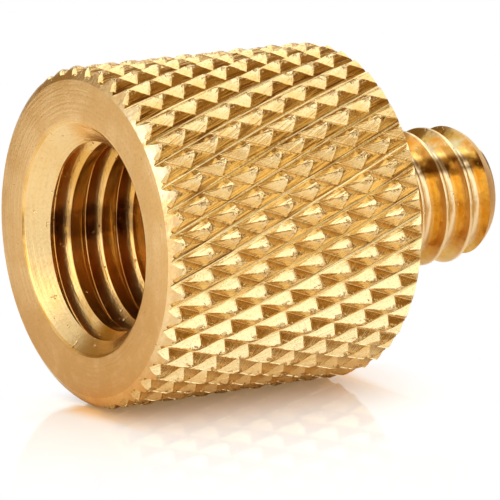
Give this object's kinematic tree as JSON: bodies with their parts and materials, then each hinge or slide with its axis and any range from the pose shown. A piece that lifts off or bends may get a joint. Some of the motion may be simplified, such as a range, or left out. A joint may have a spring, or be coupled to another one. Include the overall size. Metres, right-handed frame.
{
  "type": "tripod thread adapter",
  "caption": "Short round brass adapter with a diamond-knurled body, a wide threaded socket in one end and a narrow threaded stud on the other.",
  "frame": {"origin": "centre of the mouth face, which the adapter stands on", "axes": "+Z along the axis, from the socket's mouth to the stud's end; +X and +Y across the body"},
  "size_m": [0.0148, 0.0148, 0.0199],
  "materials": {
    "brass": "bare turned brass with a cut diamond knurl, sharp and bright, with fine lathe marks on the mouth face"
  },
  "bodies": {
    "root": {"thread_adapter": "brass"}
  },
  "joints": []
}
